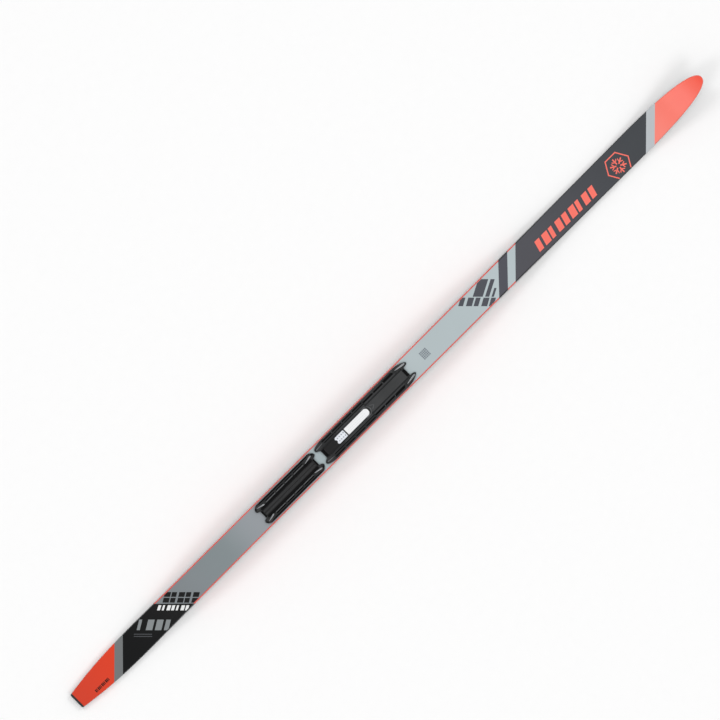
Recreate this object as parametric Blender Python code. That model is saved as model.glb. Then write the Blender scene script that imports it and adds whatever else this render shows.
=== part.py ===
"""A 150 cm cross country skin ski: one bare ski with its two binding plates bonded on.

Frame: +X runs to the tip, +Y to the ski's left and +Z up. The origin is on the floor, under the
middle of the ski's overall length. Inside this file lengths are in millimetres, x is measured
forwards from the tail's end, and z is measured upwards from the floor.
"""
import math

import bmesh
import bpy

MM = 0.001
GAP = 0.3                    # air between neighbouring pieces
BOND_GAP = 0.25              # air above and below a film of glue

# Plan shape
LENGTH = 1500.0
TAIL_END_WIDTH = 30.0
TAIL_FLARE_END = 160.0       # where the tail reaches its full width
TAIL_WIDTH = 51.0
WAIST_WIDTH = 48.1
WAIST_REAR = 750.0
WAIST_FRONT = 770.0
SHOVEL = 1330.0              # widest place, where the tip's rounding begins
SHOVEL_WIDTH = 51.8
TIP_END_WIDTH = 5.0

# Side shape
TAIL_CONTACT = (50.0, 110.0)
TIP_CONTACT = (1230.0, 1295.0)
CAMBER_TOP = 625.0
CAMBER = 16.0
TAIL_KICK = 3.0
TIP_RISE = 52.0
MID_THICKNESS = 21.0
CONTACT_THICKNESS = 9.0
TAIL_THICKNESS = 7.0
TIP_THICKNESS = 5.3
SHOULDER = ((0.9, 2.2), (1.3, 1.0), (2.3, 0.0))  # how far in and below the top, at full size
FULL_SHOULDER_SIDE = 12.0    # height of a side that is tall enough for a full-size shoulder
DECK = CAMBER + MID_THICKNESS
DECK_SPAN = (415.0, 835.0)   # the level stretch under the binding plates

# Layers, from the snow upwards
BASE_THICKNESS = 2.0
TIP_BASE_THICKNESS = 1.3
LOWER_LAMINATE = 0.5
REINFORCEMENT = 0.8
CAP_LAMINATE = 0.8
TOP_SHEET = 0.7
CAP_INSET = TOP_SHEET + GAP
CAVITY_INSET = CAP_INSET + CAP_LAMINATE
CORE_INSET = CAVITY_INSET + GAP

# Running groove, and the recess of the grip skin
GROOVE_WIDTH = 3.0
GROOVE_DEPTH = 1.2
GROOVE_SPANS = ((60.0, 540.0), (980.0, 1270.0))
SKIN_SPAN = (580.0, 945.0)
SKIN_WIDTH = 33.0
SKIN_NOSE = 22.0
SKIN_RECESS = 1.4
SKIN_PROUD = 0.6
SKIN_GLUE = 0.2
SKIN_GLUE_INSET = 1.0

# Core, and the fillers at its ends
CORE_SPAN = (40.0, 1390.0)
STRINGER_EDGES = (5.0, 15.0)
TIP_SPACER_END = 1488.0
TAIL_BLOCK = 3.3             # length of the protector's outer bar
TAIL_TENON = 12.0
TAIL_TENON_WIDTH = 18.0
TAIL_CHAMFER = 1.2
FILLER_INSET = 1.4           # how far inside the core's outline the fillers stay
REINFORCEMENT_SPAN = (420.0, 830.0)
REINFORCEMENT_WIDTH = 34.0

# Binding plates; heights are above the plate's foot
PLATE_GLUE = 0.3
PLATE_FOOT = DECK + 2 * BOND_GAP + PLATE_GLUE
PLATE_HEIGHT = 5.2
PLATE_FLOOR = 2.2
PANEL_HEIGHT = 3.4
RAMP_FOOT = 1.3
RAMP_SIDES = (6.0, 23.0)     # between the middle line and past the rails
POCKET_FLOOR = 1.8
RIB_HALF = 1.1               # half of a rib's thickness
SLOT_HALF_WIDTH = 6.8
SLOT_HEIGHTS = (0.8, 4.5)
LIP_GROOVE = (1.5, 3.0)      # heights of the undercut that the binding grips
GLUE_INSET = 1.2             # how far inside the plate its film of glue stays
GLUE_SHORTER = 1.5
OVERSHOOT = 2.0              # how far a cutter reaches past what it cuts
LABEL_THICKNESS = 0.6
LABEL_HALF_WIDTH = 6.7

COLOURS = {
    "print": (0.45, 0.52, 0.55), "plate": (0.035, 0.037, 0.04), "base": (0.02, 0.02, 0.022),
    "mohair": (0.30, 0.30, 0.31), "glue": (0.65, 0.60, 0.45), "glass": (0.62, 0.66, 0.52),
    "light_wood": (0.72, 0.55, 0.36), "dense_wood": (0.50, 0.31, 0.16),
    "filler": (0.10, 0.10, 0.11), "protector": (0.015, 0.015, 0.016), "label": (0.85, 0.85, 0.85),
}


def clamp(value, low, high):
    return max(low, min(high, value))


def ease(u):
    """Cosine step from 0 to 1 with level ends."""
    return 0.5 - 0.5 * math.cos(math.pi * clamp(u, 0.0, 1.0))


def blend(a, b, u):
    return a + (b - a) * u


# ---------------------------------------------------------------- shape of the whole ski

def half_width(x, inset=0.0):
    """Half of the ski's width at x, for an outline drawn in by inset all round."""
    if x <= TAIL_FLARE_END:
        flare = ((TAIL_FLARE_END - x) / TAIL_FLARE_END) ** 2.5
        full = TAIL_WIDTH - (TAIL_WIDTH - TAIL_END_WIDTH) * flare
    elif x <= WAIST_REAR:
        full = WAIST_WIDTH + (TAIL_WIDTH - WAIST_WIDTH) * (
            (WAIST_REAR - x) / (WAIST_REAR - TAIL_FLARE_END)) ** 2
    elif x <= WAIST_FRONT:
        full = WAIST_WIDTH
    elif x <= SHOVEL:
        full = WAIST_WIDTH + (SHOVEL_WIDTH - WAIST_WIDTH) * (
            (x - WAIST_FRONT) / (SHOVEL - WAIST_FRONT)) ** 1.6
    else:
        s = min(1.0, (x - SHOVEL) / (tip_end(inset) - SHOVEL))
        curve = (1 - s ** 2.85) ** (1 / 2.4)
        return max(TIP_END_WIDTH / 2, SHOVEL_WIDTH / 2 * curve) - inset * max(curve, 0.4)
    return full / 2 - inset


def tip_end(inset):
    """Where an outline drawn in by inset ends at the tip."""
    return LENGTH - 1.6 * inset


def bottom(x):
    """Height of the running surface: tail kick, camber between two contacts, and tip rise."""
    if x < TAIL_CONTACT[0]:
        return TAIL_KICK * ((TAIL_CONTACT[0] - x) / TAIL_CONTACT[0]) ** 2
    if x > TIP_CONTACT[1]:
        return TIP_RISE * ((x - TIP_CONTACT[1]) / (LENGTH - TIP_CONTACT[1])) ** 2.1
    if x <= TAIL_CONTACT[1] or x >= TIP_CONTACT[0]:
        return 0.0
    reach = CAMBER_TOP - TAIL_CONTACT[1] if x < CAMBER_TOP else TIP_CONTACT[0] - CAMBER_TOP
    return CAMBER * (1 - (abs(x - CAMBER_TOP) / reach) ** 3) ** 2


def top(x):
    """Height of the top surface along the middle line."""
    if x < TAIL_CONTACT[0]:
        return bottom(x) + blend(TAIL_THICKNESS, CONTACT_THICKNESS, ease(x / TAIL_CONTACT[0]))
    if x < DECK_SPAN[0]:
        rise = ease((x - TAIL_CONTACT[1]) / (DECK_SPAN[0] - TAIL_CONTACT[1]))
        return blend(CONTACT_THICKNESS, DECK, rise)
    if x <= DECK_SPAN[1]:
        return DECK
    if x < TIP_CONTACT[1]:
        fall = ease((x - DECK_SPAN[1]) / (TIP_CONTACT[0] - DECK_SPAN[1]))
        return blend(DECK, CONTACT_THICKNESS, fall)
    thin = ease((x - TIP_CONTACT[1]) / (LENGTH - TIP_CONTACT[1]))
    return bottom(x) + blend(CONTACT_THICKNESS, TIP_THICKNESS, thin)


def base_top(x):
    thin = ease((x - TIP_CONTACT[1]) / (LENGTH - TIP_CONTACT[1]))
    return bottom(x) + blend(BASE_THICKNESS, TIP_BASE_THICKNESS, thin)


def core_floor(x):
    return base_top(x) + GAP + LOWER_LAMINATE + GAP


def core_ceiling(x):
    """Underside of whatever lies on the core: the cap, or the mounting reinforcement."""
    lowered = REINFORCEMENT + GAP if core_is_lowered(x) else 0.0
    return top(x) - CORE_INSET - lowered


def core_is_lowered(x):
    return REINFORCEMENT_SPAN[0] - 1.0 < x < REINFORCEMENT_SPAN[1] + 1.0


def shoulder(x, inset=0.0):
    """The cap's side from its foot to its flat top, as (y, z), drawn in by inset."""
    y = half_width(x, inset)
    z = top(x)
    size = clamp((z - base_top(x)) / FULL_SHOULDER_SIDE, 0.5, 1.0)
    (low_in, low_down), (high_in, high_down), (crown_in, _) = SHOULDER
    return [(y, base_top(x) + GAP),
            (y - low_in * size, z - low_down * size),
            (y - high_in * size, z - high_down * size - 0.5 * inset),
            (y - crown_in * size + 0.4 * inset, z - inset)]


def spread(start, end, steps):
    """Evenly spaced places from start to end, with both ends."""
    return [blend(start, end, i / steps) for i in range(steps + 1)]


def stations(start, end, inset=0.0, extra=()):
    """Places along the ski where a section is drawn, closest together where the shape bends."""
    tip = tip_end(inset) - SHOVEL
    marks = spread(0.0, TAIL_CONTACT[0], 4) + spread(*TAIL_CONTACT, 1)
    marks += spread(TAIL_CONTACT[1], DECK_SPAN[0], 9) + spread(*DECK_SPAN, 8)
    marks += spread(DECK_SPAN[1], TIP_CONTACT[0], 11) + spread(*TIP_CONTACT, 1) + [SHOVEL]
    marks += [SHOVEL + tip * (1 - (1 - i / 15) ** 1.6) for i in range(1, 16)]
    inside = [x for x in marks + list(extra) if start + 0.5 < x < end - 0.5]
    return sorted({round(x, 4) for x in inside + [start, end]})


# ---------------------------------------------------------------- mesh helpers

def material(name):
    found = bpy.data.materials.get(name)
    if found:
        return found
    made = bpy.data.materials.new(name)
    made.use_nodes = True
    shader = made.node_tree.nodes["Principled BSDF"]
    shader.inputs["Base Color"].default_value = (*COLOURS[name], 1.0)
    shader.inputs["Roughness"].default_value = 0.35 if name in ("print", "label") else 0.6
    return made


def add_object(name, bm, finish=None):
    """Turn a bmesh in millimetres into an object in metres, in the ski's frame."""
    bmesh.ops.translate(bm, verts=bm.verts, vec=(-LENGTH / 2, 0.0, 0.0))
    bmesh.ops.scale(bm, verts=bm.verts, vec=(MM, MM, MM))
    bmesh.ops.recalc_face_normals(bm, faces=bm.faces)
    mesh = bpy.data.meshes.new(name)
    bm.to_mesh(mesh)
    bm.free()
    made = bpy.data.objects.new(name, mesh)
    bpy.context.collection.objects.link(made)
    if finish:
        mesh.materials.append(material(finish))
    else:
        made.hide_render = True
        made.display_type = "WIRE"
    return made


def loft(bm, places, section):
    """Skin the closed sections (lists of (y, z)) drawn at each of the places along the ski."""
    rings = [[bm.verts.new((x, y, z)) for y, z in section(x)] for x in places]
    for back, front in zip(rings, rings[1:]):
        for i in range(len(back)):
            j = (i + 1) % len(back)
            bm.faces.new((back[i], back[j], front[j], front[i]))
    bm.faces.new(rings[0][::-1])
    bm.faces.new(rings[-1])


def slab_section(inner, outer, low, high):
    """A section between two edges and two heights, each a function of x."""
    return lambda x: [(inner(x), low(x)), (outer(x), low(x)), (outer(x), high(x)), (inner(x), high(x))]


def add_slab(name, finish, places, outer, low, high, inner=None):
    """A strip along the ski; without an inner edge it reaches as far to both sides."""
    bm = bmesh.new()
    loft(bm, places, slab_section(inner or (lambda x: -outer(x)), outer, low, high))
    return add_object(name, bm, finish)


def prism(bm, outline, low, high):
    """Extrude a closed outline of (x, y) points between two heights."""
    foot = [bm.verts.new((x, y, low)) for x, y in outline]
    head = [bm.verts.new((x, y, high)) for x, y in outline]
    for i in range(len(outline)):
        j = (i + 1) % len(outline)
        bm.faces.new((foot[i], foot[j], head[j], head[i]))
    bm.faces.new(foot[::-1])
    bm.faces.new(head)


def side_prism(bm, profile, y):
    """Extrude a closed side profile of (x, z) points between two values of y."""
    right = [bm.verts.new((x, y[0], z)) for x, z in profile]
    left = [bm.verts.new((x, y[1], z)) for x, z in profile]
    for i in range(len(profile)):
        j = (i + 1) % len(profile)
        bm.faces.new((right[i], right[j], left[j], left[i]))
    bm.faces.new(right[::-1])
    bm.faces.new(left)


def box(bm, x, y, z):
    """A box between two values in each direction."""
    side_prism(bm, [(x[0], z[0]), (x[1], z[0]), (x[1], z[1]), (x[0], z[1])], y)


def both_sides(y):
    """A pair of y ranges, on the left and mirrored on the right."""
    return (y, (-y[1], -y[0]))


def full_outline(half):
    """Close a left-hand outline that starts and ends on the middle line."""
    return half + [(x, -y) for x, y in reversed(half) if y > 0.0]


def inset_outline(half, amount, shorten):
    """Draw a left-hand outline in sideways by amount and lengthwise by shorten."""
    middle = (half[0][0] + half[-1][0]) / 2
    return [(x + math.copysign(shorten, middle - x), max(0.0, y - amount) if y > 9.0 else y)
            for x, y in half]


def boolean(target, cutter, operation="DIFFERENCE"):
    step = target.modifiers.new(cutter.name, "BOOLEAN")
    step.operation = operation
    step.solver = "EXACT"
    step.object = cutter


# ---------------------------------------------------------------- ski body

def make_base():
    bm = bmesh.new()
    loft(bm, stations(TAIL_BLOCK + GAP, LENGTH), slab_section(
        lambda x: -half_width(x), half_width, bottom, base_top))
    base = add_object("base", bm, "base")

    bm = bmesh.new()
    for start, end in GROOVE_SPANS:
        loft(bm, stations(start, end), slab_section(
            lambda x: -GROOVE_WIDTH / 2, lambda x: GROOVE_WIDTH / 2,
            lambda x: bottom(x) - 1.0, lambda x: bottom(x) + GROOVE_DEPTH))
    boolean(base, add_object("base_groove_cutter", bm))

    bm = bmesh.new()
    loft(bm, skin_places(GAP), slab_section(
        lambda x: -skin_half_width(x, GAP), lambda x: skin_half_width(x, GAP),
        lambda x: bottom(x) - 1.5, lambda x: bottom(x) + SKIN_RECESS))
    boolean(base, add_object("skin_recess_cutter", bm))


def skin_half_width(x, grow=0.0):
    """The grip skin's outline: parallel, with a rounded nose towards the tip."""
    nose = clamp((x - (SKIN_SPAN[1] - SKIN_NOSE)) / (SKIN_NOSE + grow), 0.0, 1.0)
    return max(3.0, SKIN_WIDTH / 2 * math.sqrt(max(0.0, 1 - nose ** 2.2))) + grow


def skin_places(grow=0.0):
    nose = [SKIN_SPAN[1] - SKIN_NOSE + (SKIN_NOSE + grow) * math.sin(math.pi / 2 * i / 8)
            for i in range(8)]
    return stations(SKIN_SPAN[0] - grow, SKIN_SPAN[1] + grow, extra=nose)


def make_grip_skin():
    """The mohair strip stands a little proud of the base, on a film of glue in its recess."""
    skin_top = SKIN_RECESS - BOND_GAP - SKIN_GLUE - BOND_GAP
    add_slab("grip_skin", "mohair", skin_places(), skin_half_width,
             lambda x: bottom(x) - SKIN_PROUD, lambda x: bottom(x) + skin_top)
    add_slab("skin_adhesive", "glue", skin_places(),
             lambda x: skin_half_width(x) - SKIN_GLUE_INSET,
             lambda x: bottom(x) + skin_top + BOND_GAP,
             lambda x: bottom(x) + skin_top + BOND_GAP + SKIN_GLUE)


def make_lower_laminate():
    end = tip_end(CORE_INSET) - 1.0
    add_slab("lower_laminate", "glass", stations(TAIL_BLOCK + 2 * GAP, end, CORE_INSET),
             lambda x: half_width(x, CORE_INSET) - 0.2,
             lambda x: base_top(x) + GAP, lambda x: base_top(x) + GAP + LOWER_LAMINATE)


def core_places():
    steps = [REINFORCEMENT_SPAN[0] - 1.5, REINFORCEMENT_SPAN[0] - 0.9,
             REINFORCEMENT_SPAN[1] + 0.9, REINFORCEMENT_SPAN[1] + 1.5]
    return stations(*CORE_SPAN, extra=steps)


def make_core():
    """Five stringers side by side: light wood in the middle, dense wood along the sides."""
    inner, outer = STRINGER_EDGES
    strips = {"core_centre_stringer": (-inner, inner),
              "core_left_stringer": (inner + GAP, outer),
              "core_right_stringer": (-outer, -inner - GAP)}
    for name, (right, left) in strips.items():
        add_slab(name, "light_wood", core_places(), lambda x, y=left: y, core_floor,
                 core_ceiling, inner=lambda x, y=right: y)
    for name, side in (("core_left_edge_stringer", 1), ("core_right_edge_stringer", -1)):
        bm = bmesh.new()
        loft(bm, core_places(), lambda x, side=side: edge_stringer_section(x, side))
        add_object(name, bm, "dense_wood")


def edge_stringer_section(x, side):
    """An outer stringer follows the sidecut and the slope inside the cap."""
    foot, lower, upper, crown = shoulder(x, CORE_INSET)
    ceiling = core_ceiling(x)
    start = STRINGER_EDGES[1] + GAP
    points = [(start, core_floor(x)), (foot[0], core_floor(x)),
              (lower[0], min(lower[1], ceiling - 1.0)), (crown[0], ceiling), (start, ceiling)]
    return [(side * y, z) for y, z in points]


def make_end_fillers():
    def floor(x):
        return core_floor(x)

    def ceiling(x):
        return top(x) - CORE_INSET

    add_slab("tip_spacer", "filler", stations(CORE_SPAN[1] + GAP, TIP_SPACER_END, CORE_INSET),
             lambda x: half_width(x, CORE_INSET) - FILLER_INSET, floor, ceiling)
    add_slab("tail_spacer", "filler", stations(TAIL_TENON + GAP, CORE_SPAN[0] - GAP),
             lambda x: half_width(x, CORE_INSET) - FILLER_INSET, floor, ceiling)


def make_tail_protector():
    """A plastic bar over the tail's end, with a tenon held between the laminates."""
    def section(x):
        half = half_width(x) - TAIL_CHAMFER * max(0.0, 1 - x / TAIL_CHAMFER)
        side = [(half, bottom(x)), (half, top(x) - TAIL_CHAMFER), (half - TAIL_CHAMFER, top(x))]
        return side + [(-y, z) for y, z in reversed(side)]

    bm = bmesh.new()
    loft(bm, [0.0, 0.35, TAIL_CHAMFER, TAIL_BLOCK], section)
    bar = add_object("tail_protector", bm, "protector")
    bm = bmesh.new()
    loft(bm, spread(TAIL_BLOCK - 1.0, TAIL_TENON, 2), slab_section(
        lambda x: -TAIL_TENON_WIDTH / 2, lambda x: TAIL_TENON_WIDTH / 2,
        core_floor, lambda x: top(x) - CORE_INSET))
    boolean(bar, add_object("tail_tenon", bm), "UNION")


def make_cap_shell(name, finish, inset, thickness, start):
    """A long cover with open underside: over the top, round the shoulders, down to the base."""
    def outside(x):
        side = shoulder(x, inset)
        return side + [(-y, z) for y, z in reversed(side)]

    def inside(x):
        side = shoulder(x, inset + thickness)
        side[0] = (side[0][0], base_top(x) - 1.0)
        return side + [(-y, z) for y, z in reversed(side)]

    bm = bmesh.new()
    loft(bm, stations(start, tip_end(inset), inset), outside)
    shell = add_object(name, bm, finish)
    bm = bmesh.new()
    loft(bm, stations(start - 2.0, tip_end(inset + thickness), inset + thickness), inside)
    boolean(shell, add_object(name + "_cavity", bm))


def make_reinforcement():
    """A dense sheet under the cap, where the plates take the binding's load."""
    add_slab("mounting_reinforcement", "glass", spread(*REINFORCEMENT_SPAN, 1),
             lambda x: REINFORCEMENT_WIDTH / 2,
             lambda x: DECK - CORE_INSET - REINFORCEMENT, lambda x: DECK - CORE_INSET)


# ---------------------------------------------------------------- binding plates

FRONT_PLATE = [(594.2, 0.0), (594.2, 8.0), (591.6, 9.6), (587.0, 12.2), (586.7, 13.6),
               (587.2, 15.4), (589.6, 17.8), (596.0, 20.0), (604.6, 21.3), (774.5, 21.3),
               (785.0, 20.5), (793.0, 18.4), (799.8, 15.2), (803.4, 12.2), (802.8, 10.6),
               (798.0, 9.6), (794.6, 8.7), (793.6, 7.4), (793.6, 0.0)]
REAR_PLATE = [(449.2, 0.0), (449.2, 7.3), (446.4, 8.4), (443.6, 10.0), (443.0, 12.0),
              (444.4, 14.8), (448.2, 18.6), (451.3, 20.2), (573.6, 20.2), (578.0, 18.4),
              (581.9, 15.0), (583.2, 12.2), (582.2, 9.8), (579.4, 8.4), (576.7, 7.3),
              (576.7, 0.0)]
FRONT_RIBS = [607.4 + 23.9 * i for i in range(8)]
REAR_RIBS = [466.4, 491.6, 512.6, 532.8, 559.2]


def make_plate(name, half, channel, ribs, pocket_y, ramps, slots, grooves):
    """A bonded rail plate: two side rails with pockets, prongs that ramp down, open middle."""
    bm = bmesh.new()
    prism(bm, full_outline(half), PLATE_FOOT, PLATE_FOOT + PLATE_HEIGHT)
    plate = add_object(name, bm, "plate")
    above = PLATE_FOOT + PLATE_HEIGHT + OVERSHOOT

    bm = bmesh.new()
    channel_half_width, floor_profile = channel
    floor = [(x, PLATE_FOOT + z) for x, z in floor_profile]
    side_prism(bm, floor + [(floor[-1][0], above), (floor[0][0], above)],
               (-channel_half_width, channel_half_width))
    for start, end in zip(ribs, ribs[1:]):
        for y in both_sides(pocket_y):
            box(bm, (start + RIB_HALF, end - RIB_HALF), y, (PLATE_FOOT + POCKET_FLOOR, above))
    boolean(plate, add_object(name + "_pocket_cutter", bm))

    bm = bmesh.new()
    for high_x, tip_x in ramps:
        past = math.copysign(OVERSHOOT, tip_x - high_x)
        slope = (PLATE_HEIGHT - RAMP_FOOT) / abs(tip_x - high_x)
        low = PLATE_FOOT + RAMP_FOOT - slope * abs(past)
        for y in both_sides(RAMP_SIDES):
            side_prism(bm, [(high_x, PLATE_FOOT + PLATE_HEIGHT), (tip_x + past, low),
                            (tip_x + past, above), (high_x, above)], y)
    boolean(plate, add_object(name + "_ramp_cutter", bm))

    bm = bmesh.new()
    for x in slots:
        box(bm, x, (-SLOT_HALF_WIDTH, SLOT_HALF_WIDTH),
            (PLATE_FOOT + SLOT_HEIGHTS[0], PLATE_FOOT + SLOT_HEIGHTS[1]))
    for x, edge in grooves:
        for y in both_sides((edge, edge + 3.0)):
            box(bm, x, y, (PLATE_FOOT + LIP_GROOVE[0], PLATE_FOOT + LIP_GROOVE[1]))
    boolean(plate, add_object(name + "_slot_cutter", bm))

    bm = bmesh.new()
    prism(bm, full_outline(inset_outline(half, GLUE_INSET, GLUE_SHORTER)),
          DECK + BOND_GAP, DECK + BOND_GAP + PLATE_GLUE)
    add_object(name + "_adhesive", bm, "glue")


def make_plates():
    make_plate("front_plate", FRONT_PLATE,
               channel=(9.2, [(584.0, PLATE_FLOOR), (703.0, PLATE_FLOOR), (703.0, PANEL_HEIGHT),
                              (806.0, PANEL_HEIGHT)]),
               ribs=FRONT_RIBS, pocket_y=(13.4, 16.8),
               ramps=[(603.0, 586.7), (778.0, 803.4)],
               slots=[(595.4, 599.4), (788.0, 792.6)], grooves=[((608.0, 770.0), 19.7)])
    make_plate("rear_plate", REAR_PLATE,
               channel=(10.0, [(440.0, PLATE_FLOOR), (585.0, PLATE_FLOOR)]),
               ribs=REAR_RIBS, pocket_y=(11.4, 14.2),
               ramps=[(464.0, 443.0), (560.8, 583.2)],
               slots=[], grooves=[((455.0, 570.0), 18.6)])


def make_labels():
    """A short tag and a longer label, both white, on the floor of the front plate's channel."""
    low = PLATE_FOOT + PLATE_FLOOR + GAP
    half = LABEL_HALF_WIDTH
    tag = [(627.0, 0.0), (627.0, 1.4), (625.2, 2.4), (625.2, half - 2.6), (627.8, half),
           (646.4, half), (646.4, 0.0)]
    info = [(648.2, 0.0), (648.2, half), (696.0, half), (699.0, half - 1.8), (700.6, 3.6),
            (700.6, 0.0)]
    for name, outline in (("tag_label", tag), ("info_label", info)):
        bm = bmesh.new()
        prism(bm, full_outline(outline), low, low + LABEL_THICKNESS)
        add_object(name, bm, "label")


def main():
    for old in list(bpy.data.objects):
        bpy.data.objects.remove(old, do_unlink=True)
    make_base()
    make_grip_skin()
    make_lower_laminate()
    make_core()
    make_end_fillers()
    make_tail_protector()
    make_cap_shell("cap_laminate", "glass", CAP_INSET, CAP_LAMINATE, TAIL_BLOCK + 2 * GAP)
    make_cap_shell("top_sheet", "print", 0.0, TOP_SHEET, TAIL_BLOCK + GAP)
    make_reinforcement()
    make_plates()
    make_labels()


main()
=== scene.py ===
"""The looks of a junior cross country skin ski: printed cover, running base, grip skin and plates.

Shapes are drawn in millimetres. x is measured forwards from the tail's end, y to the ski's left
and z up from the floor, and place() turns them into the frame's metres.
"""
import math

import bmesh
import bpy
import numpy as np
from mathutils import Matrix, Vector


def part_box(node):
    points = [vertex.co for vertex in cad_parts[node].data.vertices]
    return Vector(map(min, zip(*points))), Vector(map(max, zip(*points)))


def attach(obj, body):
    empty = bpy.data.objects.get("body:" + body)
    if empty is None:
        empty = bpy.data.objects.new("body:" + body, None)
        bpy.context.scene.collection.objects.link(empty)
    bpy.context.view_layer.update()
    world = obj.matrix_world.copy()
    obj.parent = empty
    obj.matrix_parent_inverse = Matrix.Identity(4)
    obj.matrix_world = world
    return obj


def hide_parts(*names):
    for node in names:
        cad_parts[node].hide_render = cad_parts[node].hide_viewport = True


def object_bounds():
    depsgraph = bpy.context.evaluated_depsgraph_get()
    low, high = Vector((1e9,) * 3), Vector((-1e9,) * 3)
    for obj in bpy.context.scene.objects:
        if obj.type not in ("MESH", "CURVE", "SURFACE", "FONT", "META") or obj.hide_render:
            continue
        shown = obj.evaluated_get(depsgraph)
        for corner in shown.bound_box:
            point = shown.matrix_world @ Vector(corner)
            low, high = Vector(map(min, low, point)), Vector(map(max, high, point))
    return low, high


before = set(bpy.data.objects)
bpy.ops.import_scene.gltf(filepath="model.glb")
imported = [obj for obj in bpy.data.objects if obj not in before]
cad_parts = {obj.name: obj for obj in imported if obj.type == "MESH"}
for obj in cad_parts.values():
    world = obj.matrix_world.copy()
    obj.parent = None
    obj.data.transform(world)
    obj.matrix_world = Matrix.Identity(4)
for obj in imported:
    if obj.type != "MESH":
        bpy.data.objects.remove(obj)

MM = 0.001
cad_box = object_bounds()
LENGTH = (cad_box[1].x - cad_box[0].x) / MM
PLATE_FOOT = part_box("front_plate")[0].z / MM
PLATE_TOP = (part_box("front_plate")[1].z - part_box("front_plate")[0].z) / MM  # above its foot
LABEL_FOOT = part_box("info_label")[0].z / MM
LABEL_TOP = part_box("info_label")[1].z / MM
COVER_START = (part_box("top_sheet")[0].x - cad_box[0].x) / MM

# ---- the ski's shape, as in the CAD

TAIL_END_WIDTH = 30.0
TAIL_WIDTH = 51.0
TAIL_FLARE_END = 160.0  # where the tail reaches its full width
WAIST_WIDTH = 48.1
WAIST = (750.0, 770.0)
SHOVEL_WIDTH = 51.8
SHOVEL = 1330.0  # widest place, where the tip's rounding begins
TAIL_CONTACT = (50.0, 110.0)
TIP_CONTACT = (1230.0, 1295.0)
CAMBER_TOP = 625.0
CAMBER = 16.0
TAIL_KICK = 3.0
TIP_RISE = 52.0
DECK_SPAN = (415.0, 835.0)  # the level stretch under the plates
DECK = 37.0
TAIL_THICKNESS = 7.0
CONTACT_THICKNESS = 9.0
TIP_THICKNESS = 5.3
BASE_THICKNESS = 2.0
TIP_BASE_THICKNESS = 1.3


def clamp(value, low, high):
    return max(low, min(high, value))


def ease(u):
    return 0.5 - 0.5 * math.cos(math.pi * clamp(u, 0.0, 1.0))


def blend(a, b, u):
    return a + (b - a) * u


def spread(start, end, steps):
    return [blend(start, end, i / steps) for i in range(steps + 1)]


def ends(spans):
    """Both ends of every span, in one list."""
    return [end for span in spans for end in span]


def closing(start, steps):
    """Places from start almost to the tip's end, closer and closer together."""
    return [LENGTH - (LENGTH - start) * (1 - i / steps) ** 2.6 for i in range(1, steps)]


def half_width(x):
    if x <= TAIL_FLARE_END:
        return blend(TAIL_WIDTH, TAIL_END_WIDTH, (1 - x / TAIL_FLARE_END) ** 2.5) / 2
    if x <= WAIST[0]:
        return blend(WAIST_WIDTH, TAIL_WIDTH, ((WAIST[0] - x) / (WAIST[0] - TAIL_FLARE_END)) ** 2) / 2
    if x <= WAIST[1]:
        return WAIST_WIDTH / 2
    if x <= SHOVEL:
        return blend(WAIST_WIDTH, SHOVEL_WIDTH, ((x - WAIST[1]) / (SHOVEL - WAIST[1])) ** 1.6) / 2
    s = min(1.0, (x - SHOVEL) / (LENGTH - SHOVEL))
    return SHOVEL_WIDTH / 2 * (1 - s ** 2.85) ** (1 / 2.4)


def edge_normal(x):
    """How much wider a strip along the outline is across the ski than square to it, and the slope."""
    step = 0.01
    slope = (half_width(min(x + step, LENGTH)) - half_width(x - step)) / (2 * step)
    return math.sqrt(1 + min(slope * slope, 3600.0)), slope


def bottom(x):
    if x < TAIL_CONTACT[0]:
        return TAIL_KICK * ((TAIL_CONTACT[0] - x) / TAIL_CONTACT[0]) ** 2
    if x > TIP_CONTACT[1]:
        return TIP_RISE * ((x - TIP_CONTACT[1]) / (LENGTH - TIP_CONTACT[1])) ** 2.1
    if x <= TAIL_CONTACT[1] or x >= TIP_CONTACT[0]:
        return 0.0
    reach = CAMBER_TOP - TAIL_CONTACT[1] if x < CAMBER_TOP else TIP_CONTACT[0] - CAMBER_TOP
    return CAMBER * (1 - (abs(x - CAMBER_TOP) / reach) ** 3) ** 2


def top(x):
    if x < TAIL_CONTACT[0]:
        return bottom(x) + blend(TAIL_THICKNESS, CONTACT_THICKNESS, ease(x / TAIL_CONTACT[0]))
    if x < DECK_SPAN[0]:
        rise = ease((x - TAIL_CONTACT[1]) / (DECK_SPAN[0] - TAIL_CONTACT[1]))
        return blend(CONTACT_THICKNESS, DECK, rise)
    if x <= DECK_SPAN[1]:
        return DECK
    if x < TIP_CONTACT[1]:
        return blend(DECK, CONTACT_THICKNESS, ease((x - DECK_SPAN[1]) / (TIP_CONTACT[0] - DECK_SPAN[1])))
    return bottom(x) + blend(CONTACT_THICKNESS, TIP_THICKNESS, tip_share(x))


def tip_share(x):
    """How far the ski has thinned towards the tip, from 0 to 1."""
    return ease((x - TIP_CONTACT[1]) / (LENGTH - TIP_CONTACT[1]))


def base_top(x):
    return bottom(x) + blend(BASE_THICKNESS, TIP_BASE_THICKNESS, tip_share(x))


# ---- colour and materials

def linear(r, g, b):
    """A colour given in 0..255 display values, as the linear colour that a shader takes."""
    def one(v):
        v = v / 255.0
        return v / 12.92 if v <= 0.04045 else ((v + 0.055) / 1.055) ** 2.4
    return (one(r), one(g), one(b), 1.0)


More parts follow.
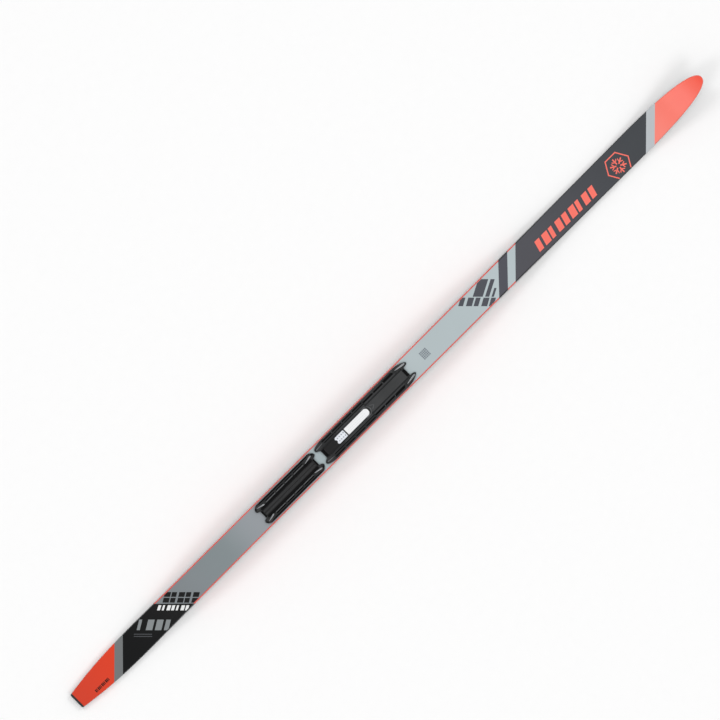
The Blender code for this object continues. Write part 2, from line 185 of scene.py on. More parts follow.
class Shader:
    """A Principled material that is put together from small procedural layers."""

    def __init__(self, name, roughness=0.5, specular=0.5, coat=0.0, sheen=0.0):
        self.material = bpy.data.materials.new(name)
        self.material.use_nodes = True
        self.tree = self.material.node_tree
        self.out = self.tree.nodes["Principled BSDF"].inputs
        for key, number in (("Roughness", roughness), ("Specular IOR Level", specular),
                            ("Coat Weight", coat), ("Coat Roughness", 0.12), ("Sheen Weight", sheen)):
            self.out[key].default_value = number
        self.place = self.node("TexCoord").outputs["Object"]

    def node(self, kind, inputs=()):
        """A new node with inputs given as (name, number, colour or other node's output)."""
        made = self.tree.nodes.new("ShaderNode" + kind)
        for key, value in inputs:
            if hasattr(value, "node"):
                self.tree.links.new(value, made.inputs[key])
            else:
                made.inputs[key].default_value = value
        return made

    def noise(self, scale, detail=3.0, stretch=None, rough=0.55):
        place = self.place
        if stretch:
            place = self.node("Mapping", (("Vector", place), ("Scale", stretch))).outputs["Vector"]
        return self.node("TexNoise", (("Vector", place), ("Scale", scale), ("Detail", detail),
                                      ("Roughness", rough))).outputs["Fac"]

    def cells(self, scale):
        return self.node("TexVoronoi", (("Vector", self.place), ("Scale", scale))).outputs["Distance"]

    def along(self):
        """The place along the ski, in metres."""
        return self.node("SeparateXYZ", ((0, self.place),)).outputs["X"]

    def ramp(self, fac, stops, start=0.0, end=1.0):
        """Colours along a value that runs from start to end."""
        node = self.node("ValToRGB", (("Fac", self.spanned(fac, start, end, 0.0, 1.0)),))
        node.color_ramp.interpolation = "EASE"
        elements = node.color_ramp.elements
        for element, (at, rgb) in zip(elements, (stops[0], stops[-1])):
            element.position, element.color = at, linear(*rgb)
        for at, rgb in stops[1:-1]:
            elements.new(at).color = linear(*rgb)
        return node.outputs["Color"]

    def spanned(self, value, low, high, to_low, to_high):
        return self.node("MapRange", (("Value", value), ("From Min", low), ("From Max", high),
                                      ("To Min", to_low), ("To Max", to_high))).outputs["Result"]

    def mixed(self, fac, a, b, how="MIX"):
        """Two colours, each a plain one or a node's, mixed by a node's value or a plain share."""
        node = self.node("Mix")
        node.data_type = "RGBA"
        node.blend_type = how
        for socket, value in zip((node.inputs[i] for i in (0, 6, 7)), (fac, a, b)):
            if hasattr(value, "node"):
                self.tree.links.new(value, socket)
            else:
                socket.default_value = value
        return node.outputs[2]

    def blended(self, fac, a, b, low=0.3, high=0.7, most=1.0):
        """From one colour to the other as a value runs from low to high, at most by a share."""
        return self.mixed(self.spanned(fac, low, high, 0.0, most), a, b)

    def colour(self, value):
        self.tree.links.new(value, self.out["Base Color"])

    def rough(self, fac, low, high):
        self.tree.links.new(self.spanned(fac, 0.3, 0.7, low, high), self.out["Roughness"])

    def bump(self, height, strength, depth_mm):
        node = self.node("Bump", (("Strength", strength), ("Distance", depth_mm * MM), ("Height", height)))
        if self.out["Normal"].is_linked:
            self.tree.links.new(self.out["Normal"].links[0].from_socket, node.inputs["Normal"])
        self.tree.links.new(node.outputs["Normal"], self.out["Normal"])


def shaded(colour, share):
    return tuple(c * share for c in colour[:3]) + (1.0,)


def printed(name, stops, span=(0.0, 1.0), roughness=0.24):
    """Printed polyamide film: a smooth colour run, screen-print grain, orange peel and hairlines."""
    made = Shader(name, roughness=roughness, specular=0.22)
    tone = made.ramp(made.along(), stops, *span)
    for scale, most, grey in ((2600.0, 0.16, 0.8), (9.0, 1.0, 0.95)):
        dark = made.mixed(1.0, tone, (grey, grey, grey, 1.0), "MULTIPLY")
        tone = made.blended(made.noise(scale, detail=2.0), tone, dark, 0.35, 0.65, most)
    made.colour(tone)
    hairline = made.noise(140.0, detail=6.0, stretch=(0.06, 2.2, 1.0), rough=0.7)
    made.rough(hairline, roughness - 0.02, roughness + 0.04)
    made.bump(made.noise(420.0, detail=2.0), 0.10, 0.10)
    made.bump(hairline, 0.03, 0.03)
    return made.material


def flat_print(name, rgb, **more):
    return printed(name, [(0.0, rgb), (1.0, rgb)], **more)


def moulded(name, rgb, roughness=0.5, grain_mm=0.35, depth=0.05, specular=0.5):
    """Moulded plastic with a spark-eroded grain, faint flow marks and rubbed patches."""
    made = Shader(name, roughness=roughness, specular=specular)
    colour = linear(*rgb)
    flow = made.noise(38.0, detail=3.0, stretch=(0.5, 1.6, 1.0))
    made.colour(made.blended(flow, shaded(colour, 0.86), shaded(colour, 1.14)))
    made.rough(flow, roughness - 0.07, roughness + 0.08)
    made.bump(made.cells(1000.0 / grain_mm), 0.35, depth)
    made.bump(made.noise(300.0, detail=4.0), 0.15, depth)
    return made.material


def wood(name, light, dark):
    """Bare wood with its rings and pores drawn out along the ski."""
    made = Shader(name, roughness=0.62)
    rings = made.noise(46.0, detail=4.0, stretch=(0.05, 3.0, 3.0))
    pores = made.noise(900.0, detail=2.0, stretch=(0.04, 1.0, 1.0))
    body = made.ramp(rings, [(0.0, dark), (0.45, light), (1.0, dark)], 0.3, 0.7)
    made.colour(made.blended(pores, body, linear(*dark), 0.45, 0.7, 0.35))
    made.rough(rings, 0.55, 0.7)
    made.bump(pores, 0.3, 0.1)
    return made.material


def composite(name, rgb):
    """Glass fibre laminate: crossed rovings under resin."""
    made = Shader(name, roughness=0.35, coat=0.3)
    weave = made.noise(600.0, detail=3.0, stretch=(0.08, 1.0, 1.0))
    cross = made.noise(600.0, detail=3.0, stretch=(1.0, 0.08, 1.0))
    body = made.mixed(weave, shaded(linear(*rgb), 0.8), linear(*rgb))
    made.colour(made.blended(cross, body, shaded(linear(*rgb), 1.1), 0.4, 0.6, 0.5))
    made.rough(weave, 0.3, 0.45)
    made.bump(weave, 0.2, 0.05)
    return made.material


# ---- mesh helpers

def place(x, y, z):
    return ((x - LENGTH / 2) * MM, y * MM, z * MM)


def linked(name, data):
    made = bpy.data.objects.new(name, data)
    bpy.context.scene.collection.objects.link(made)
    return made


def mesh_object(name, points, faces):
    """An object with a mesh given by points in millimetres."""
    mesh = bpy.data.meshes.new(name)
    mesh.from_pydata([place(*p) for p in points], [], faces)
    return linked(name, mesh)


def add_piece(name, points, faces, materials, slot, node, sharp, indices=None):
    """A piece in place of a CAD node, from points in millimetres."""
    made = mesh_object(name, points, faces)
    for material in materials:
        made.data.materials.append(material)
    if indices is not None:
        made.data.polygons.foreach_set("material_index", indices)
    return finish_piece(made, node, sharp)


def add_bmesh_piece(name, bm, material, node):
    """A piece in place of a CAD node, from a bmesh that is already in metres."""
    mesh = bpy.data.meshes.new(name)
    bm.to_mesh(mesh)
    bm.free()
    mesh.materials.append(material)
    return finish_piece(linked(name, mesh), node, 35.0)


def finish_piece(made, node, sharp):
    """Faces pointing out, shading smooth but sharp where it bends, and the frame's facts."""
    bm = bmesh.new()
    bm.from_mesh(made.data)
    bmesh.ops.recalc_face_normals(bm, faces=bm.faces)
    bm.to_mesh(made.data)
    bm.free()
    made.data.shade_smooth()
    made.data.set_sharp_from_angle(angle=math.radians(sharp))
    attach(made, "root")
    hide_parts(node)
    return made


def skin_rings(rings):
    """Faces between closed rings of points, with both ends capped; rings all have one length."""
    count = len(rings[0])
    points = [p for ring in rings for p in ring]
    faces = []
    for start in range(0, len(points) - count, count):
        for i in range(count):
            j = (i + 1) % count
            faces.append((start + i, start + j, start + count + j, start + count + i))
    faces.append(tuple(range(count))[::-1])
    faces.append(tuple(range(len(points) - count, len(points))))
    return points, faces


# ---- printed cover

COVER_THICKNESS = 0.6
WALL_STEPS = (0.0, 0.3, 0.6)
ROUND_STEPS = tuple(math.radians(a) for a in (0, 15, 30, 45, 60, 75, 90))
FLAT_STEPS = (0.86, 0.7, 0.54, 0.36, 0.18)
WALL_LEAN = 0.9  # how far the side leans in, and how wide and deep the rounding is
ROUND_WIDTH = 1.7
ROUND_DEPTH = 2.4


def cover_size(x):
    """The rounding's share of its full size, which thin stretches of the ski don't have room for."""
    return clamp((top(x) - base_top(x)) / 12.0, 0.5, 1.0)


def cover_drop(inwards, size, wall):
    """How far below the flat top the cover lies, at a distance in from the outline."""
    e = inwards / size
    if e >= WALL_LEAN + ROUND_WIDTH:
        return 0.0
    if e >= WALL_LEAN:
        across = (WALL_LEAN + ROUND_WIDTH - e) / ROUND_WIDTH
        return ROUND_DEPTH * size * (1 - math.sqrt(max(0.0, 1 - across * across)))
    return blend(wall, ROUND_DEPTH * size, e / WALL_LEAN)


def cover_point(line, side, kind, value):
    """The outer point on a slanting line x = a + k*y, and the matching point inside the cover."""
    a, k = line
    x = a
    for _ in range(6):
        wide, _slope = edge_normal(x)
        size = cover_size(x)
        rounding = (WALL_LEAN + ROUND_WIDTH) * size * wide
        if kind == "flat":
            y = value * max(half_width(x) - rounding, 0.0)
        else:
            y = max(half_width(x) - value * size * wide, 0.0)
        x = min(a + k * side * y, LENGTH)
    wide, slope = edge_normal(x)
    wall = top(x) - base_top(x) - 0.12
    z = top(x) - cover_drop((half_width(x) - y) / wide, size, wall)
    tilt = math.pi / 2
    if kind == "edge":
        tilt = math.acos(clamp((WALL_LEAN + ROUND_WIDTH - value) / ROUND_WIDTH, 0.0, 1.0))
    out = math.cos(tilt) * COVER_THICKNESS
    inner_y = max(y - out / wide, 0.0)
    inner = (x + out * slope / wide, side * inner_y, z - math.sin(tilt) * COVER_THICKNESS)
    return (x, side * y, z), inner


HALF_COLUMNS = [("edge", e) for e in WALL_STEPS]
HALF_COLUMNS += [("edge", WALL_LEAN + ROUND_WIDTH * (1 - math.cos(a))) for a in ROUND_STEPS]
HALF_COLUMNS += [("flat", v) for v in FLAT_STEPS]
COLUMNS = [(1, *column) for column in HALF_COLUMNS + [("flat", 0.0)]]
COLUMNS += [(-1, *column) for column in HALF_COLUMNS[::-1]]
EDGE_COLUMNS = len(WALL_STEPS) + len(ROUND_STEPS) - 1


def cover_lines(start, end, step):
    """Slanting lines between two boundaries, each given as (a, k)."""
    steps = max(2, round((end[0] - start[0]) / step))
    return list(zip(spread(start[0], end[0], steps), spread(start[1], end[1], steps)))


def add_cover_zone(name, lines, top_material, edge_material):
    """One colour zone of the printed cover, as a closed shell of its own."""
    rings = []
    for line in lines:
        pairs = [cover_point(line, *column) for column in COLUMNS]
        rings.append([outer for outer, _ in pairs] + [inner for _, inner in reversed(pairs)])
    points, faces = skin_rings(rings)
    flat = range(EDGE_COLUMNS, len(COLUMNS) - 1 - EDGE_COLUMNS)
    around = [0 if i in flat else 1 for i in range(2 * len(COLUMNS))]
    add_piece(name, points, faces, [top_material, edge_material], "printed_top", "top_sheet", 50.0,
              around * (len(rings) - 1) + [0, 0])


# Boundaries of the colour zones, as lines x = a + k*y
TAIL_BAND = (91.0, 1.01)
BLACK_START = (111.4, 0.985)
FIELD_START = (235.4, -1.02)
STRIPE_START = (1014.4, 0.945)
STRIPE_MID = (1035.7, 0.955)
STRIPE_END = (1054.7, 0.985)
TIP_BAND = (1368.5, 1.005)
TIP_START = (1389.3, 1.01)

GREY_STOPS = [(0.0, (129, 135, 139)), (0.14, (134, 143, 146)), (0.24, (153, 158, 163)),
              (0.435, (171, 184, 187)), (0.74, (182, 193, 196)), (1.0, (186, 198, 201))]
GREY_SPAN = (-0.50, 0.27)
# Coral of the tip: the deeper, darker coral towards its end is painted shade where the tip curves up.
CORAL_AND_SHADE_STOPS = [(0.0, (255, 138, 125)), (0.40, (253, 124, 109)), (0.62, (250, 113, 98)),
               (0.85, (247, 96, 76)), (1.0, (246, 84, 64))]
COVER_STEP, TIP_STEP = 6.0, 4.0
APEX_START = 1440.0  # the cover's sections come closer and closer together from here on


def make_cover():
    edge_red = flat_print("edge_red", (222, 84, 74))
    edge_black = flat_print("edge_black", (38, 38, 41), roughness=0.32)
    red = printed("tail_red", [(0.0, (214, 66, 43)), (1.0, (225, 66, 38))], (-0.75, -0.64))
    tail_grey = flat_print("tail_grey", (117, 120, 121))
    grey = printed("field_grey", GREY_STOPS, GREY_SPAN)
    charcoal = printed("front_charcoal", [(0.0, (83, 83, 89)), (1.0, (69, 72, 76))], (0.30, 0.62))
    band = flat_print("tip_grey", (190, 195, 199))
    zones = [("print_tail", (COVER_START, 0.0), red, red),
             ("print_tail_band", TAIL_BAND, tail_grey, tail_grey),
             ("print_tail_black", BLACK_START, flat_print("tail_black", (7, 8, 9)), edge_black),
             ("print_field", FIELD_START, grey, edge_red),
             ("print_stripe_dark", STRIPE_START, flat_print("stripe_charcoal", (82, 83, 91)), edge_black),
             ("print_stripe_pale", STRIPE_MID, flat_print("stripe_pale", (185, 197, 200)), edge_red),
             ("print_front", STRIPE_END, charcoal, edge_black),
             ("print_tip_band", TIP_BAND, band, band)]
    ahead = [zone[1] for zone in zones[1:]] + [TIP_START]
    for (name, start, flat, edge), end in zip(zones, ahead):
        add_cover_zone(name, cover_lines(start, end, COVER_STEP), flat, edge)
    lines = cover_lines(TIP_START, (APEX_START, 0.0), TIP_STEP) + [(x, 0.0) for x in closing(APEX_START, 36)]
    # The tip's coral darkens towards its end as painted shade on the rising tip.
    add_cover_zone("print_tip", lines, printed("tip_coral", CORAL_AND_SHADE_STOPS, (0.63, 0.75)),
                   flat_print("edge_coral", (232, 112, 98)))


# ---- printed marks

INK_LIFT = 0.045  # the ink's top above the film, and its foot in the film
INK_FOOT = -0.05


def spoke(radius, degrees):
    return radius * math.cos(math.radians(degrees)), radius * math.sin(math.radians(degrees))


def turned(points, x, y, degrees=0.0):
    """Points drawn about a mark's own middle, turned and put at (x, y)."""
    c, s = spoke(1.0, degrees)
    return [(x + c * u - s * v, y + s * u + c * v) for u, v in points]


def bar(u, width, height, lean=0.0, v=0.0):
    """A bar from u to u + width whose top leans forwards."""
    low, high = v - height / 2, v + height / 2
    return [(u, low), (u + width, low), (u + width + lean, high), (u + lean, high)]


def cut_below(points, y_low):
    """The part of a simple outline that lies above y_low."""
    kept = []
    for (x0, y0), (x1, y1) in zip(points, points[1:] + points[:1]):
        if y0 >= y_low:
            kept.append((x0, y0))
        if (y0 >= y_low) != (y1 >= y_low):
            share = (y_low - y0) / (y1 - y0)
            kept.append((blend(x0, x1, share), y_low))
    return kept


def flat_limit(x):
    """Half of the flat top's width, inside the rounding of the edges."""
    return half_width(x) - (WALL_LEAN + ROUND_WIDTH) * cover_size(x)


INK_STEP = 4.0  # between the cuts that let the ink follow the cover along x
INK_MARGIN = 0.15


def raised(bm):
    """Extrude the faces, and return the corners of the extruded side."""
    made = bmesh.ops.extrude_face_region(bm, geom=bm.faces[:])
    return {v for v in made["geom"] if isinstance(v, bmesh.types.BMVert)}


def add_mark(name, outlines, material):
    """Ink laid on the flat of the cover: thin closed patches that follow its curve along x."""
    bm = bmesh.new()
    for outline in outlines:
        limit = min(flat_limit(x) for x, _ in outline) - INK_MARGIN
        for _ in range(2):
            outline = [(x, -y) for x, y in cut_below(outline, -limit)]
        if len(outline) >= 3:
            bm.faces.new([bm.verts.new((x, y, 0.0)) for x, y in outline])
    xs = [v.co.x for v in bm.verts]
    cuts = int((max(xs) - min(xs)) / INK_STEP)
    for i in range(1, cuts + 1):
        bmesh.ops.bisect_plane(bm, geom=bm.verts[:] + bm.edges[:] + bm.faces[:], dist=0.001,
                               plane_co=(min(xs) + i * INK_STEP, 0, 0), plane_no=(1, 0, 0))
    high = raised(bm)
    for v in bm.verts:
        v.co = place(v.co.x, v.co.y, top(v.co.x) + (INK_LIFT if v in high else INK_FOOT))
    add_bmesh_piece(name, bm, material, "top_sheet")


def slanted_row(count, pitch, height, lean, pattern, slit=0.0):
    """A centred row of leaning blocks; pattern gives their shares of the pitch, slit parts each in two."""
    blocks = []
    for i in range(count):
        width = pitch * pattern[i % len(pattern)]
        if slit:
            part = (height - slit) / 2
            shift = lean * (part + slit) / height
            low = -(part + slit) / 2
            blocks.append(bar(i * pitch, width, part, lean * part / height, low))
            blocks.append(bar(i * pitch + shift, width, part, lean * part / height, -low))
        else:
            blocks.append(bar(i * pitch, width, height, lean))
    us = [u for block in blocks for u, _ in block]
    middle = (min(us) + max(us)) / 2
    return [[(u - middle, v) for u, v in block] for block in blocks]


EMBLEM_MIDDLE = (1295.0, -7.0)
HEXAGON_RADII = (24.5, 22.2)


def hexagon_ring():
    outer, inner = ([spoke(radius, a) for a in range(0, 360, 60)] for radius in HEXAGON_RADII)
    return [[outer[i], outer[(i + 1) % 6], inner[(i + 1) % 6], inner[i]] for i in range(6)]


def snow_crystal():
    """Six arms round the middle, each with a barb on both sides."""
    shapes = [[(3.4, -1.15), (14.5, -1.15), (14.5, 1.15), (3.4, 1.15)]]
    shapes += [[(6.6, s * 0.9), (8.8, s * 0.9), (12.2, s * 5.0), (10.0, s * 5.0)] for s in (1, -1)]
    return [turned(shape, 0.0, 0.0, a) for shape in shapes for a in range(30, 390, 60)]


def make_marks():
    inks = {name: flat_print("ink_" + name, rgb) for name, rgb in (
        ("coral", (254, 122, 108)), ("charcoal", (82, 84, 91)), ("black", (7, 7, 9)),
        ("white", (238, 240, 240)), ("grey", (136, 141, 143)), ("faint", (78, 80, 83)),
        ("serial", (66, 26, 20)), ("mid", (122, 130, 137)))}
    wedges = [[(-20.0, -15.0), (-3.0, -15.0), (6.5, 15.0), (-10.5, 15.0)],
              [(1.0, -15.0), (8.0, -15.0), (17.5, 15.0), (10.5, 15.0)],
              [(12.0, -15.0), (16.0, -15.0), (20.7, 0.0), (16.7, 0.0)]]
    cells = [bar(u * 3.1 - 1.2, 2.4, 2.4, 0.0, v * 3.1) for u in range(-2, 3) for v in range(-2, 3)]
    marks = [
        ("front_row", "coral", 1168.5, -7.1, 0, slanted_row(9, 15.9, 18.8, 5.2, (0.66, 0.80, 0.5, 0.74))),
        ("tail_row_black", "black", 251.2, -0.6, -45, slanted_row(5, 12.2, 18.0, 4.4, (0.86, 0.70), 1.6)),
        ("tail_row_white", "white", 229.0, -3.5, -45, slanted_row(7, 7.9, 8.8, 2.8, (0.62, 0.44, 0.74))),
        ("tail_row_grey", "grey", 185.0, -0.8, -45, slanted_row(4, 15.4, 18.0, 4.4, (0.34, 0.72, 0.72, 0.5))),
        ("field_row", "charcoal", 961.4, -1.0, -45, slanted_row(5, 13.0, 14.5, 4.2, (0.62, 0.78))),
        ("serial", "serial", 50.6, -11.3, 0, slanted_row(11, 2.95, 5.6, 0.0, (0.72, 0.5, 0.8))),
        ("tail_lines", "faint", 159.6, -0.5, -45, [bar(-16.0, 31.0, 1.3, 0.6, v) for v in (1.9, -1.9)]),
        ("field_block", "charcoal", 987.0, 7.0, -45, wedges),
        ("grid", "mid", 836.4, -0.3, 0, cells),
        ("emblem", "coral", *EMBLEM_MIDDLE, 0, hexagon_ring()),
        ("crystal", "coral", *EMBLEM_MIDDLE, 0, snow_crystal()),
    ]
    for name, ink, x, y, turn, blocks in marks:
        add_mark("mark_" + name, [turned(block, x, y, turn) for block in blocks], inks[ink])


# ---- running base and grip skin

GROOVE_SPANS = ((60.0, 540.0), (980.0, 1270.0))
GROOVE_RUN_OUT = 14.0
GROOVE_PROFILE = ((2.1, 0.0), (1.6, 0.05), (1.42, 0.35), (1.15, 0.8), (0.7, 1.12), (0.0, 1.22))
SKIN_SPAN = (580.0, 945.0)
SKIN_HALF = 16.5
SKIN_NOSE = 22.0
RECESS_GAP = 0.3  # between the skin and the sides of its recess
RECESS_DEPTH = 1.4
BASE_ROUND = 0.45
BASE_SHARP = 40.0
CLOSING_START = 1380.0  # the base's sections come closer and closer together from here on


def groove_depth(x):
    """Share of the running groove's full depth at x."""
    return max(min(ease((x - start) / GROOVE_RUN_OUT), ease((end - x) / GROOVE_RUN_OUT))
               for start, end in GROOVE_SPANS)


def skin_half(x, grow=0.0):
    nose = clamp((x - (SKIN_SPAN[1] - SKIN_NOSE)) / (SKIN_NOSE + grow), 0.0, 1.0)
    return SKIN_HALF * math.sqrt(max(0.0, 1 - nose ** 2.2)) + grow


def skin_places(straight_steps, nose_steps, grow=0.0):
    """Places along the skin, closest together round its nose."""
    nose_start = SKIN_SPAN[1] - SKIN_NOSE
    nose = [nose_start + (SKIN_NOSE + grow) * math.sin(math.pi / 2 * i / nose_steps)
            for i in range(nose_steps + 1)]
    return spread(SKIN_SPAN[0] - grow, nose_start, straight_steps)[:-1] + nose


def base_ring(x):
    """The base's section: sides with a rounded lower edge, the flat, and the groove."""
    wide, _slope = edge_normal(x)
    side = [(0.15, base_top(x)), (0.0, base_top(x) - 0.2)]
    side += [(e, bottom(x) + BASE_ROUND * (1 - math.sqrt(1 - (1 - e / BASE_ROUND) ** 2)))
             for e in (0.0, 0.13, 0.28, BASE_ROUND)]
    half = [(max(half_width(x) - e * wide, 0.0), z) for e, z in side]
    narrow = min(1.0, half_width(x) / 12.0)
    share = groove_depth(x)
    flat = [(y, 0.0) for y in (18.0, 12.0, 6.0)] + [(y, depth * share) for y, depth in GROOVE_PROFILE]
    limit = half[-1][0]
    half += [(min(limit, y * narrow), bottom(x) + rise) for y, rise in flat]
    ring = [(x, y, z) for y, z in half]
    return ring + [(x, -y, z) for y, z in half[-2::-1]]


def base_material():
    """Stone-ground polyethylene: black, waxy, with a fine grind running along the ski."""
    made = Shader("base_polyethylene", roughness=0.36, specular=0.45)
    grind = made.noise(900.0, detail=3.0, stretch=(0.02, 1.0, 1.0))
    wax = made.noise(30.0, detail=4.0, stretch=(0.4, 1.5, 1.0))
    made.colour(made.blended(grind, linear(24, 24, 27), linear(48, 49, 52)))
    made.rough(wax, 0.28, 0.46)
    made.bump(grind, 0.5, 0.06)
    return made.material


def make_base():
    marks = spread(COVER_START, CLOSING_START, 240) + ends(GROOVE_SPANS)
    marks += closing(CLOSING_START, 40)
    base = add_piece("running_base", *skin_rings([base_ring(x) for x in sorted(set(marks))]),
                     [base_material()], "running_base", "base", BASE_SHARP)
    rings = []
    for x in skin_places(60, 24, RECESS_GAP):
        y = max(skin_half(x, RECESS_GAP), 1.0)
        low, high = bottom(x) - 2.0, bottom(x) + RECESS_DEPTH
        rings.append([(x, -y, low), (x, y, low), (x, y, high), (x, -y, high)])
    cutter = mesh_object("recess_cutter", *skin_rings(rings))
    cut = base.modifiers.new("skin_recess", "BOOLEAN")
    cut.object = cutter
    old = base.data
    base.data = bpy.data.meshes.new_from_object(base.evaluated_get(bpy.context.evaluated_depsgraph_get()))
    base.modifiers.clear()
    bpy.data.meshes.remove(old)
    bpy.data.objects.remove(cutter)
    base.data.shade_smooth()
    base.data.set_sharp_from_angle(angle=math.radians(BASE_SHARP))


PILE_PITCH = 1.05  # between tufts of the skin's pile
SKIN_ROWS = 58  # of the skin's fine surface, side by side


def mohair_material(name, lift):
    made = Shader(name, roughness=0.85, specular=0.2, sheen=0.6)
    hair = made.noise(1500.0, detail=4.0, stretch=(0.12, 1.0, 1.0))
    tuft = made.noise(260.0, detail=3.0, stretch=(0.5, 1.0, 1.0))
    body = made.blended(hair, linear(92 * lift, 92 * lift, 95 * lift),
                        linear(172 * lift, 171 * lift, 170 * lift))
    made.colour(made.blended(tuft, body, linear(74, 74, 78), 0.35, 0.65, 0.5))
    made.bump(hair, 0.6, 0.25)
    return made.material


def make_grip_skin():
    """Short mohair pile: a fine surface in rows of tufts that lean back towards the tail."""
    rng = np.random.default_rng(7)
    rings = []
    for x in skin_places(520, 30)[:-1]:
        half = max(skin_half(x), 0.6)
        low = []
        for i, v in enumerate(spread(-1.0, 1.0, SKIN_ROWS)):
            edge = min(1.0, (1 - abs(v)) * half / 1.2, (x - SKIN_SPAN[0]) / 1.5 + 0.15)
            tuft = 0.16 * math.sin(x * 2.9 + 1.7 * math.sin(i * 1.3)) + 0.13 * rng.standard_normal()
            proud = 0.45 * math.sqrt(max(edge, 0.02)) + clamp(tuft, -0.25, 0.15) * edge
            low.append((x, half * v, bottom(x) - proud))
        rings.append(low + [(x, half, bottom(x) + 0.7), (x, -half, bottom(x) + 0.7)])
    skin = add_piece("mohair_skin", *skin_rings(rings), [mohair_material("mohair", 1.0)],
                     "grip_mohair", "grip_skin", 70.0)
    make_pile(rng)


def make_pile(rng):
    """The skin's tufts: slim wedges rooted in the sheet, their tips swept back towards the tail."""
    points, faces = [], []
    for x in np.arange(SKIN_SPAN[0] + 5.0, SKIN_SPAN[1] - 1.2, PILE_PITCH):
        reach = skin_half(x) - 1.0
        for y in np.arange(-reach, reach, PILE_PITCH):
            root = x + rng.uniform(-0.6, 0.6)
            side = y + rng.uniform(-0.5, 0.5)
            long, wide = rng.uniform(3.0, 4.6), rng.uniform(0.25, 0.5)
            low = bottom(root)
            first = len(points)
            points += [(root, side - wide, low - 0.35), (root, side + wide, low - 0.35),
                       (root - 0.3 * long, side, low - rng.uniform(0.60, 0.72)),
                       (root - long, side + rng.uniform(-0.7, 0.7), low - rng.uniform(0.5, 0.66))]
            faces += [(first, first + 1, first + 2), (first + 1, first + 3, first + 2),
                      (first + 3, first, first + 2), (first, first + 3, first + 1)]
    add_piece("mohair_pile", points, faces, [mohair_material("mohair_tufts", 1.12)],
              "grip_mohair", "grip_skin", 180.0)


# ---- binding plates

def band_mask(value, low, high, soft=0.3):
    """1 between low and high, 0 outside, with short ramps; works on arrays."""
    return np.clip((value - low) / soft + 0.5, 0, 1) * np.clip((high - value) / soft + 0.5, 0, 1)


def toward(height, target, mask):
    return height + (target - height) * mask


def levelled(height, x, y, boxes):
    """Heights brought to a level over each box in turn, given as (level, x span, y span)."""
    for level, x_span, y_span in boxes:
        height = toward(height, level, band_mask(x, *x_span) * band_mask(y, *y_span))
    return height


PLATE_FINISHES = [
    ("plate_grained", (35, 36, 37), 0.36, 0.35, 0.03, 0.32),
    # Pale grey for the glossy pads on the prongs: a painted highlight on the black plastic.
    ("plate_strong_highlight", (138, 140, 143), 0.18, 1.4, 0.004, 1.0),
    # Near black for pocket floors, slots, grooves and the rings round the pads: painted shade in recesses.
    ("plate_deep_shade", (6, 6, 7), 0.6, 0.35, 0.05, 0.12),
    ("plate_panel", (52, 53, 54), 0.42, 0.6, 0.04, 0.35),
    # Lighter grey for lips, ribs, web tops and the toe plate's rear pads: a painted highlight on the black
    # plastic.
    ("plate_soft_highlight", (76, 78, 80), 0.28, 0.8, 0.01, 0.7),
    # Dark grey for the label well, the heel plate's middle floor, rim and trough, and the prong ends: painted
    # shade.
    ("plate_painted_shade", (19, 19, 20), 0.45, 0.35, 0.03, 0.26)]
GRAINED, STRONG_HIGHLIGHT, DEEP_SHADE, PANEL, SOFT_HIGHLIGHT, PAINTED_SHADE = range(len(PLATE_FINISHES))


def plate_materials():
    """The plates' finishes, made at the first call, in the order of their numbers."""
    return [bpy.data.materials.get(finish[0]) or moulded(*finish) for finish in PLATE_FINISHES]


class Blade:
    """A glossy drop-shaped pad on a plate's prong, from its thin end to its broad end; its pale colour is a
    painted highlight.
    """

    def __init__(self, thin, broad, width, lift=0.8):
        self.thin, self.broad, self.width, self.lift = thin, broad, width, lift
        length = math.dist(thin, broad)
        self.ahead = ((broad[0] - thin[0]) / length, (broad[1] - thin[1]) / length)

    def shade_ring(self):
        """The dark border around it, as a wider and lower pad: painted shade round the pad."""
        (ax, ay), (tx, ty), (bx, by) = self.ahead, self.thin, self.broad
        return Blade((tx - 1.2 * ax, ty - 1.2 * ay), (bx + 0.9 * ax, by + 0.9 * ay), self.width + 1.7, 0.12)

    def half(self, s):
        """Half of its width at a share of its length."""
        closing = max(0.0, (s - 0.70) / 0.30)
        body = (0.22 + 0.78 * s ** 0.9) * math.sqrt(max(0.0, 1 - closing ** 2.2)) * min(1.0, s / 0.12) ** 0.5
        return self.width / 2 * body


FRONT_REAR_END = [
    (594.2, 0.0), (594.2, 7.9), (593.4, 8.8), (591.2, 10.0), (588.4, 11.4), (586.9, 12.6), (586.6, 13.8),
    (587.2, 15.3), (588.4, 16.9), (591.0, 18.4), (595.6, 19.8), (600.0, 20.7), (604.6, 21.2)]
FRONT_FRONT_END = [
    (793.6, 0.0), (793.6, 7.4), (794.2, 8.4), (795.8, 9.2), (799.0, 9.7), (802.4, 10.4), (803.4, 11.4),
    (802.8, 12.8), (801.0, 14.4), (797.4, 16.4), (793.0, 18.3), (787.6, 19.9), (781.4, 20.9), (774.5, 21.2)]
REAR_REAR_END = [
    (449.2, 0.0), (449.2, 7.3), (448.2, 8.0), (445.6, 8.8), (443.7, 10.0), (443.0, 12.0), (443.6, 14.0),
    (445.2, 16.2), (447.8, 18.4), (450.2, 19.7), (451.8, 20.1)]
REAR_FRONT_END = [
    (576.7, 0.0), (576.7, 7.3), (578.2, 8.1), (580.8, 8.9), (582.7, 10.2), (583.2, 12.0), (582.6, 13.8),
    (580.8, 16.0), (578.2, 18.2), (576.0, 19.7), (574.4, 20.1)]
FRONT_HALF = 21.2
REAR_HALF = 20.1
FRONT_BLADES = [Blade((606.0, 15.2), (589.4, 13.7), 3.4), Blade((779.0, 15.8), (800.6, 12.6), 4.2)]
REAR_BLADES = [Blade((448.4, 15.0), (463.8, 11.4), 3.1), Blade((559.8, 11.2), (577.0, 14.3), 3.3)]


EDGE_HALF = 0.16  # from a feature's edge to the grid lines beside it


